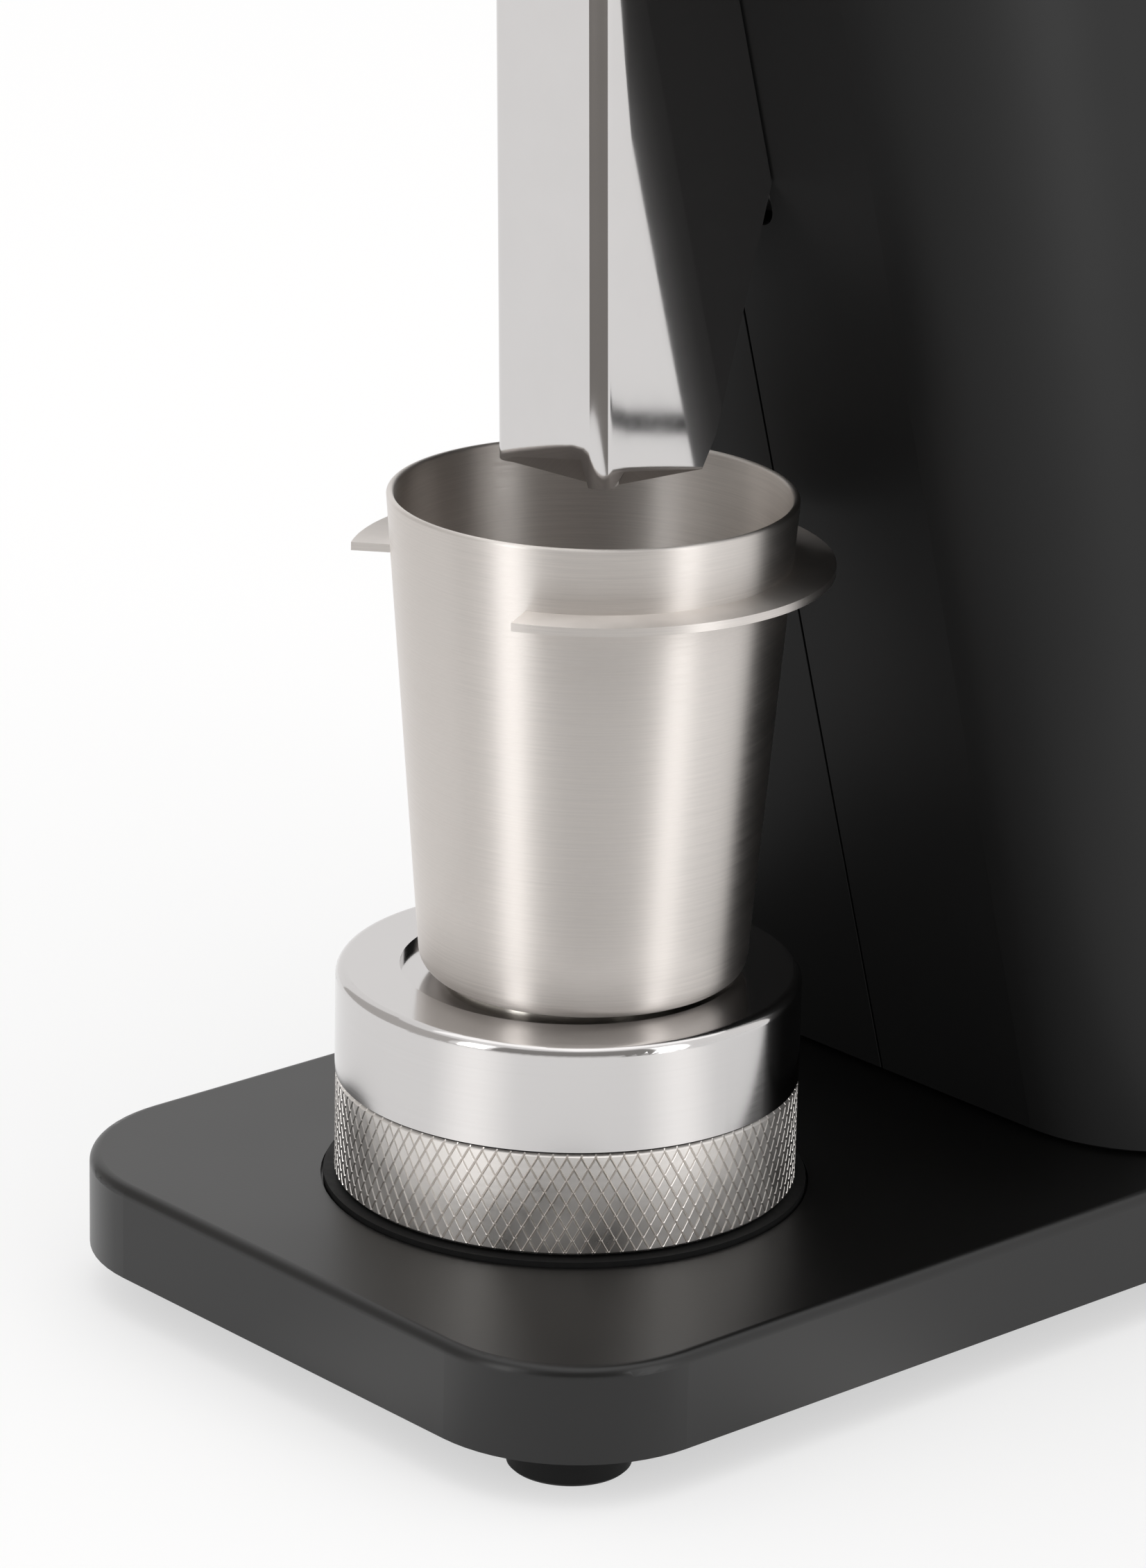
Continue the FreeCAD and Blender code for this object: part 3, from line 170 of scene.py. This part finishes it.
def brushed_round(name, low, high, roughness, lines, around, anisotropy=0.9, depth=0.00003,
                  lean=0.0):
    """Metal brushed or turned round an axis: long thin lines that spread light across them."""
    nodes = Nodes(name, Metallic=1.0, Anisotropic=anisotropy, Anisotropic_Rotation=0.25)
    tangent = nodes.add("ShaderNodeTangent", direction_type="RADIAL", axis="Z")
    nodes.join(tangent.outputs["Tangent"], nodes.shader.inputs["Tangent"])
    strokes = nodes.noise(nodes.stretched((around, around, lines), lean), 4, 0.7)
    nodes.join(nodes.ramp(strokes, low, high), nodes.shader.inputs["Base Color"])
    nodes.join(nodes.range(strokes, roughness * 0.85, roughness * 1.15, 0.3, 0.7),
               nodes.shader.inputs["Roughness"])
    nodes.bump(strokes, 0.10, depth)
    return nodes.material


def polished(name, low, high, roughness, wave=0.0):
    """Polished metal with faint wiping marks and, if asked, a slow wave in its surface."""
    nodes = Nodes(name, Metallic=1.0)
    marks = nodes.noise(nodes.stretched((90, 90, 90)), 5, 0.6)
    nodes.join(nodes.ramp(marks, low, high), nodes.shader.inputs["Base Color"])
    nodes.join(nodes.range(marks, roughness * 0.7, roughness * 1.3, 0.3, 0.7),
               nodes.shader.inputs["Roughness"])
    if wave:
        slow = nodes.noise(nodes.stretched((55, 55, 30)), 1, 0.4)
        nodes.bump(slow, 1.0, wave)
    return nodes.material


def plain(name, low, high, roughness, metallic=0.0, grain=900.0, sheen=0.5):
    """A moulded or cast surface with a fine grain."""
    nodes = Nodes(name, Metallic=metallic, Specular_IOR_Level=sheen)
    grains = nodes.noise(nodes.stretched((grain, grain, grain)), 3, 0.6)
    nodes.join(nodes.ramp(grains, low, high), nodes.shader.inputs["Base Color"])
    nodes.join(nodes.range(grains, roughness - 0.05, roughness + 0.05, 0.3, 0.7),
               nodes.shader.inputs["Roughness"])
    nodes.bump(grains, 0.3, 0.00003)
    return nodes.material


def make_metals():
    """Turned, brushed, polished and plated metal."""
    return {
        "knurled_steel": polished("knurled_steel", (0.74, 0.71, 0.68), (0.86, 0.83, 0.80), 0.34),
        "polished_aluminium": brushed_round("turned_platform", (0.60, 0.585, 0.58),
                                            (0.65, 0.635, 0.63), 0.12, lines=3000, around=12,
                                            depth=0.000004),
        "cup_steel": brushed_round("brushed_cup_steel", (0.60, 0.568, 0.540),
                                   (0.92, 0.875, 0.836), 0.46, lines=3600, around=60),
        "mirror_steel": polished("mirror_steel", (0.60, 0.585, 0.58), (0.64, 0.625, 0.62), 0.045,
                                 wave=0.00003),
        "magnet_nickel": polished("magnet_nickel", (0.62, 0.60, 0.55), (0.72, 0.70, 0.65), 0.15),
        "machined_steel": polished("machined_steel", (0.30, 0.30, 0.30), (0.40, 0.40, 0.40), 0.30),
        "turned_aluminium": brushed_round("turned_aluminium", (0.34, 0.335, 0.33),
                                          (0.46, 0.455, 0.45), 0.30, lines=3600, around=24,
                                          anisotropy=0.7, depth=0.000008, lean=LEAN),
        "burr_steel": polished("burr_steel", (0.42, 0.42, 0.43), (0.52, 0.52, 0.53), 0.2),
        "contact_brass": polished("contact_brass", (0.70, 0.52, 0.25), (0.82, 0.64, 0.34), 0.2),
        "dark_anodised": plain("dark_anodised", (0.022, 0.022, 0.023), (0.035, 0.035, 0.036),
                               0.34, metallic=0.6, grain=2200),
        "lamination_steel": plain("lamination_steel", (0.16, 0.16, 0.17), (0.26, 0.26, 0.27),
                                  0.5, metallic=0.9),
        "copper_winding": plain("copper_winding", (0.55, 0.22, 0.09), (0.72, 0.33, 0.15),
                                0.3, metallic=1.0, grain=3000),
    }


def make_coats_and_plastics():
    """Powder coats, rubber and moulded plastics."""
    return {
        "black_coat": satin_coat("satin_black_coat", (0.0012, 0.0011, 0.0010),
                                 (0.0022, 0.0021, 0.0020), roughness=0.36, sheen=0.52),
        "body_coat": satin_coat("satin_black_body", (0.0035, 0.0035, 0.0035),
                                (0.0045, 0.0045, 0.0045), roughness=0.42, sheen=0.09),
        "black_rubber": plain("black_rubber", (0.005, 0.005, 0.005), (0.010, 0.010, 0.010), 0.6,
                              sheen=0.15),
        "black_plastic": plain("black_plastic", (0.016, 0.016, 0.017), (0.028, 0.028, 0.03), 0.45),
        "gloss_black": plain("gloss_black", (0.012, 0.012, 0.012), (0.02, 0.02, 0.02), 0.12),
        "board_green": plain("board_green", (0.015, 0.11, 0.045), (0.03, 0.17, 0.07), 0.35),
        "capacitor_sleeve": plain("capacitor_sleeve", (0.02, 0.025, 0.06), (0.03, 0.035, 0.09),
                                  0.3),
    }


def dress_nodes(materials):
    """Give every CAD node the material of its slot."""
    for entry in frame["record"]["subparts"]:
        node = frame["nodes"][entry["node"]]
        node.data.materials.clear()
        node.data.materials.append(materials[entry["material_slot"]])


# ---------------------------------------------------------------- mesh helpers

def new_piece(name, points, faces, material, body, smooth=True, sharp=35):
    """A mesh piece that rides on a body."""
    mesh = bpy.data.meshes.new(name)
    mesh.from_pydata(points, [], faces)
    mesh.materials.append(material)
    mesh.validate()
    mesh.update()
    if smooth:
        mesh.shade_smooth()
        mesh.set_sharp_from_angle(angle=math.radians(sharp))
    piece = bpy.data.objects.new(name, mesh)
    bpy.context.scene.collection.objects.link(piece)
    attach(piece, body)
    return piece


def arc(centre_x, centre_z, radius, start, end, steps):
    """Profile points along an arc, angles in degrees."""
    points = []
    for i in range(steps + 1):
        angle = math.radians(start + (end - start) * i / steps)
        points.append((centre_x + radius * math.cos(angle), centre_z + radius * math.sin(angle)))
    return points


def lathe(profile, centre, segments=256):
    """Points and faces of an open profile of (radius, height) turned about a vertical line."""
    count = len(profile)
    points = []
    for j in range(segments):
        angle = math.radians(360 * j / segments)
        cosine, sine = math.cos(angle), math.sin(angle)
        points += [(centre[0] + r * cosine, centre[1] + r * sine, z) for r, z in profile]
    faces = []
    for j in range(segments):
        here, there = j * count, (j + 1) % segments * count
        for i in range(count - 1):
            faces.append((here + i, there + i, there + i + 1, here + i + 1))
    return points, faces


def weld(piece):
    """Join points that lie together, as at the middle of a turned disc."""
    modifier = piece.modifiers.new("weld", "WELD")
    modifier.merge_threshold = 1e-6


# ---------------------------------------------------------------- pieces

def make_knurled_ring(material):
    """The height ring with flat knurled diamonds between thin V grooves, and chamfered ends."""
    low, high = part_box("knurled_ring")
    radius = (high.x - low.x) / 2
    inner = 28.4 * MM
    chamfer = 0.4 * MM
    depth = 0.28 * MM
    flat = 0.80
    around = 104
    rows = 4
    height = high.z - low.z - 2 * chamfer
    points, faces, found = [], [], {}

    def point(u, v, r):
        """The index of a point at u diamonds round and v rows up."""
        key = (round(u * 1000) % (around * 1000), round(v * 1000), round(r * 1e7))
        if key not in found:
            angle = 2 * math.pi * u / around
            found[key] = len(points)
            points.append((PEDESTAL_X + r * math.cos(angle), PEDESTAL_Y + r * math.sin(angle),
                           low.z + chamfer + height * v / rows))
        return found[key]

    def diamond(u, v):
        """One diamond, or the half of it that lies inside the band."""
        around_it = [(0.5, 0), (0, 0.5), (-0.5, 0), (0, -0.5)]
        if v == 0:
            around_it = around_it[:3]
        if v == rows:
            around_it = [around_it[2], around_it[3], around_it[0]]
        groove = [point(u + a, v + b, radius - depth) for a, b in around_it]
        crest = [point(u + flat * a, v + flat * b, radius) for a, b in around_it]
        faces.append(tuple(crest))
        count = len(crest)
        for i in range(count if count == 4 else count - 1):
            k = (i + 1) % count
            faces.append((groove[i], groove[k], crest[k], crest[i]))

    for i in range(around):
        for j in range(rows):
            diamond(i, j + 0.5)
            diamond(i + 0.5, j)
        diamond(i + 0.5, rows)

    def end(v, z, sign):
        """The chamfer and the flat face at one end of the band."""
        rim, hub, bore = [], [], []
        for i in range(around):
            for a, r in ((0, radius - depth), (0.5 - 0.5 * flat, radius),
                         (0.5 + 0.5 * flat, radius)):
                angle = 2 * math.pi * (i + a) / around
                rim.append(point(i + a, v, r))
                for store, reach in ((hub, radius - chamfer), (bore, inner)):
                    store.append(len(points))
                    points.append((PEDESTAL_X + reach * math.cos(angle),
                                   PEDESTAL_Y + reach * math.sin(angle), z))
        count = len(rim)
        for first, second in ((rim, hub), (hub, bore)):
            for i in range(count):
                k = (i + 1) % count
                faces.append((first[i], first[k], second[k], second[i])[::sign])
        return bore

    lower = end(0, low.z, -1)
    upper = end(rows, high.z, 1)
    count = len(lower)
    for i in range(count):
        k = (i + 1) % count
        faces.append((upper[i], upper[k], lower[k], lower[i]))
    piece = new_piece("knurled_ring_detail", points, faces, material,
                      "height_ring", smooth=False)
    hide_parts("knurled_ring")


def make_cup(material):
    """Thin cup with a rounded rim and a rounded lower corner."""
    low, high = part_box("dosing_cup")
    centre = ((low.x + high.x) / 2, (low.y + high.y) / 2)
    rim = (high.x - low.x) / 2
    foot = rim - 5.6 * MM
    wall = 1.0 * MM
    corner = 3.2 * MM
    lip = wall / 2
    slope = math.degrees(math.atan((rim - foot) / (high.z - low.z)))
    reach = corner * math.tan(math.radians(45 - slope / 2))
    corner_x = foot - reach
    outside = arc(corner_x, low.z + corner, corner, -90, -slope, 14)
    inside = arc(corner_x, low.z + corner, corner - wall, -slope, -90, 14)
    top = arc(rim - lip, high.z - lip, lip, 0, 180, 10)
    profile = [(0.0, low.z)] + outside + top + inside + [(0.0, low.z + wall)]
    points, faces = lathe(profile, centre)
    piece = new_piece("dosing_cup_detail", points, faces, material, "cup")
    weld(piece)
    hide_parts("dosing_cup")


def make_chute(material):
    """Folded duct with round bends and the small inward fold at its lower lip."""
    low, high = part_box("chute")
    half = (high.x - low.x) / 2
    height = high.z - low.z
    wall = 1.2 * MM
    bend = 2.4 * MM
    knee = 39.2 * MM
    slope = math.tan(math.radians(LEAN))
    front_foot = PEDESTAL_Y - 6.4 * MM
    front_slope = 0.0315
    heel = PEDESTAL_Y + 14.5 * MM
    heel_rise = 1.7 * MM
    lip_tilt = math.tan(math.radians(28))
    lip_top = 4.6 * MM
    fold_start, fold_growth, side_fold = 0.6 * MM, 3.4 * MM, 2.4 * MM
    side_steps, bend_steps, front_steps = 8, 8, 10

    def front(h):
        return front_foot - front_slope * h

    def rear(h):
        """The rear edge: the heel's chamfer, the sloped back, then along the body's face."""
        if h <= heel_rise:
            return heel - (heel_rise - h)
        if h <= knee:
            return heel + (high.y - heel) * (h - heel_rise) / (knee - heel_rise)
        return high.y - (h - knee) * slope

    def outline(inset, h):
        """Points (x, y, fold) of the U at a height, from the left rear edge to the right one.

        The fold is how high the lip's crease stands there, or None where no crease runs.
        """
        w, y0, y1, r = half - inset, front(h) + inset, rear(h), bend - inset
        points = []
        for i in range(side_steps + 1):
            points.append((-w, y1 + (y0 + r - y1) * i / side_steps, None))
        for i in range(1, bend_steps + 1):
            angle = math.radians(180 + 90 * i / bend_steps)
            points.append((-w + r + r * math.cos(angle), y0 + r + r * math.sin(angle), None))
        for i in range(1, front_steps):
            t = i / front_steps
            points.append((-w + r + (2 * w - 2 * r) * t, y0, fold_start + fold_growth * t))
        for i in range(bend_steps + 1):
            angle = math.radians(270 + 90 * i / bend_steps)
            points.append((w - r + r * math.cos(angle), y0 + r + r * math.sin(angle), None))
        for i in range(1, side_steps + 1):
            t = i / side_steps
            points.append((w, y0 + r + (y1 - y0 - r) * t, side_fold * (1 - t)))
        return points

    def path(inset, h, level):
        """The outline at a height, with the lip's edge (level 0) and crease (level 1) shaped."""
        placed = []
        for x, y, fold in outline(inset, h):
            z = h
            if fold is not None and level == 0:
                if x < half - inset:
                    y += fold * lip_tilt
                else:
                    x -= fold * lip_tilt
            if fold is not None and level == 1:
                z = max(h, fold)
            placed.append((x, y, low.z + z))
        return placed

    heights = [0.0, 0.0, lip_top]
    heights += [knee * k / 12 for k in range(2, 12)] + [knee]
    heights += [knee + (height - wall - knee) * k / 24 for k in range(1, 25)]
    outer = [path(0.0, h, i) for i, h in enumerate(heights)]
    outer.append(path(0.0, height, 2))
    inner = [path(wall, h, i) for i, h in enumerate(heights)]
    points = [p for level in outer for p in level] + [p for level in inner for p in level]
    count = len(outer[0])
    first_inner = len(outer) * count
    faces = []
    for start, levels, turn in ((0, len(outer), 1), (first_inner, len(inner), -1)):
        for i in range(levels - 1):
            for j in range(count - 1):
                a = start + i * count + j
                quad = (a, a + 1, a + 1 + count, a + count)
                faces.append(quad[::turn])
    for j in range(count - 1):
        faces.append((j + 1, j, first_inner + j, first_inner + j + 1))
    top = (len(outer) - 1) * count
    faces.append(tuple(range(top, top + count)))
    inner_top = first_inner + (len(inner) - 1) * count
    faces.append(tuple(range(inner_top + count - 1, inner_top - 1, -1)))
    knee_level = heights.index(knee)
    for i in range(len(inner) - 1):
        for end, turn in ((0, 1), (count - 1, -1)):
            a, b = i * count + end, first_inner + i * count + end
            if i >= knee_level:
                faces.append((a, a + count, b + count, b)[::turn])
        if i < knee_level:
            a, b = i * count, i * count + count - 1
            faces.append((b, a, a + count, b + count))
            c, d = first_inner + a, first_inner + b
            faces.append((c, d, d + count, c + count))
    a, b = knee_level * count, knee_level * count + count - 1
    faces.append((b, a, first_inner + a, first_inner + b))
    piece = new_piece("chute_detail", points, faces, material, "chute", sharp=20)
    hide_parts("chute")


# ---------------------------------------------------------------- studio

def spot(azimuth, distance, height):
    """A point round the pedestal, at an azimuth from +X in degrees."""
    angle = math.radians(azimuth)
    return (PEDESTAL_X + distance * math.cos(angle),
            PEDESTAL_Y + distance * math.sin(angle), height)


def matt(name, base, glow=(1, 1, 1), strength=0.0):
    """A surface without gloss, which may glow."""
    nodes = Nodes(name, Roughness=0.9, Specular_IOR_Level=0.0, Emission_Strength=strength)
    nodes.shader.inputs["Base Color"].default_value = (*base, 1)
    nodes.shader.inputs["Emission Color"].default_value = (*glow, 1)
    return nodes.material


def gleam_material():
    """A card that glows where its "gleam" attribute is high and is clear where that is low."""
    nodes = Nodes("gleam_card")
    glow = nodes.add("ShaderNodeEmission", Color=(1, 0.99, 0.98, 1), Strength=1.30)
    clear = nodes.add("ShaderNodeBsdfTransparent")
    mix = nodes.add("ShaderNodeMixShader")
    gleam = nodes.add("ShaderNodeAttribute", attribute_name="gleam")
    nodes.join(gleam.outputs["Fac"], mix.inputs["Fac"])
    nodes.join(clear.outputs["BSDF"], mix.inputs[1])
    nodes.join(glow.outputs["Emission"], mix.inputs[2])
    nodes.join(mix.outputs["Shader"], nodes.tree.nodes["Material Output"].inputs["Surface"])
    return nodes.material


def make_surround():
    """A pale room and a white table."""
    scene = bpy.context.scene
    scene.view_settings.view_transform = "Standard"
    world = bpy.data.worlds.new("studio")
    world.use_nodes = True
    background = world.node_tree.nodes["Background"]
    background.inputs["Color"].default_value = (1, 0.99, 0.985, 1)
    background.inputs["Strength"].default_value = 0.95
    scene.world = world
    reach = 4.0
    mesh = bpy.data.meshes.new("floor")
    mesh.from_pydata([(-reach, -reach, 0), (reach, -reach, 0), (reach, reach, 0),
                      (-reach, reach, 0)], [], [(0, 1, 2, 3)])
    mesh.materials.append(matt("white_table", (0.37, 0.37, 0.37), strength=0.57))
    floor = bpy.data.objects.new("floor", mesh)
    scene.collection.objects.link(floor)


def softbox(name, place, aim, size, power):
    """A rectangular area light that points at a place and that the camera doesn't see."""
    data = bpy.data.lights.new(name, "AREA")
    data.shape = "RECTANGLE"
    data.size, data.size_y = size
    data.energy = power
    light = bpy.data.objects.new(name, data)
    light.location = place
    light.rotation_euler = (Vector(aim) - Vector(place)).to_track_quat("-Z", "Y").to_euler()
    light.visible_camera = False
    bpy.context.scene.collection.objects.link(light)
    return light


def make_lights():
    """Two upright strips that the metal shows as bands, one light for the body, one overhead."""
    distance, height, aim_height = 1.3, 0.5, 0.3
    for name, azimuth, power in (("front_strip", -88, 2.9), ("right_strip", 11, 2.1)):
        softbox(name, spot(azimuth, distance, height), spot(azimuth, 0, aim_height),
                (0.34, 1.1), power)
    glow = softbox("body_side", (1.25, -0.25, 0.60), (0, 0, 0.2), (0.6, 0.9), 95)
    receivers = bpy.data.collections.new("body_side_receivers")
    for node in ("body_shell", "top_cover"):
        receivers.objects.link(frame["nodes"][node])
    glow.light_linking.receiver_collection = receivers
    softbox("overhead", (0.0, 0.3, 2.4), (0, 0, 0), (3.0, 3.0), 17)


def card(name, azimuths, near, far, material):
    """A card that only shows in reflections, between two (distance, height) edges round the cup."""
    points = [spot(azimuth, *near) for azimuth in azimuths]
    points += [spot(azimuth, *far) for azimuth in reversed(azimuths)]
    count = len(points)
    mesh = bpy.data.meshes.new(name)
    mesh.from_pydata(points, [], [(i, i + 1, count - 2 - i, count - 1 - i)
                                  for i in range(count // 2 - 1)])
    mesh.materials.append(material)
    piece = bpy.data.objects.new(name, mesh)
    bpy.context.scene.collection.objects.link(piece)
    piece.visible_camera = False
    piece.visible_diffuse = False
    piece.visible_shadow = False
    return piece


def make_cards():
    """Painted reflections that only the polished faces mirror: a dim sheet on the table, soft
    gleams, dimly glowing room sheets, thin dark lines.
    """
    lying, raised = 0.002, 0.003
    # Painted reflection: a grey sheet on the white table that only mirrors show, so the polished
    # faces mirror a dim table where the camera sees it white.
    card("painted_dim_reflection", range(-122, 5, 6), (0.42, lying), (0.95, lying),
         matt("dark_card", (0.20, 0.19, 0.18)))

    gleam, half_width = gleam_material(), 24
    for name, azimuth in (("front_gleam", -84), ("right_gleam", 8)):
        azimuths = range(azimuth - half_width, azimuth + half_width + 1, 3)
        piece = card(name, azimuths, (0.06, raised), (0.34, raised), gleam)
        fade = [math.cos(math.pi / 2 * (a - azimuth) / half_width) ** 2 for a in azimuths]
        strength = piece.data.attributes.new("gleam", "FLOAT", "POINT")
        strength.data.foreach_set("value", fade + fade[::-1])

    # Painted reflection: dimly glowing sheets, seen only in mirrors, that darken the room in the
    # polished faces.
    wall, wall_foot, wall_top = 1.6, 0.03, 1.7
    for name, start, end, level in (("painted_room_reflection_front", -78, 2, 0.30), ("painted_room_reflection_left", -180, -98, 0.55)):
        card(name, range(start, end + 1, 4), (wall, wall_foot), (wall, wall_top),
             matt(name, (0, 0, 0), (1, 0.97, 0.94), level))

    # Painted reflection: two thin black strips on the table, seen only in mirrors, that draw dark
    # lines in the polished faces.
    black = matt("black_card", (0.02, 0.02, 0.021))
    for name, start, end in (("near_painted_dark_line", 0.366, 0.388), ("far_painted_dark_line", 0.490, 0.508)):
        card(name, range(20, 66, 5), (start, lying), (end, lying), black)


make_camera()
materials = {**make_metals(), **make_coats_and_plastics()}
dress_nodes(materials)
make_knurled_ring(materials["knurled_steel"])
make_cup(materials["cup_steel"])
make_chute(materials["mirror_steel"])
make_surround()
make_lights()
make_cards()
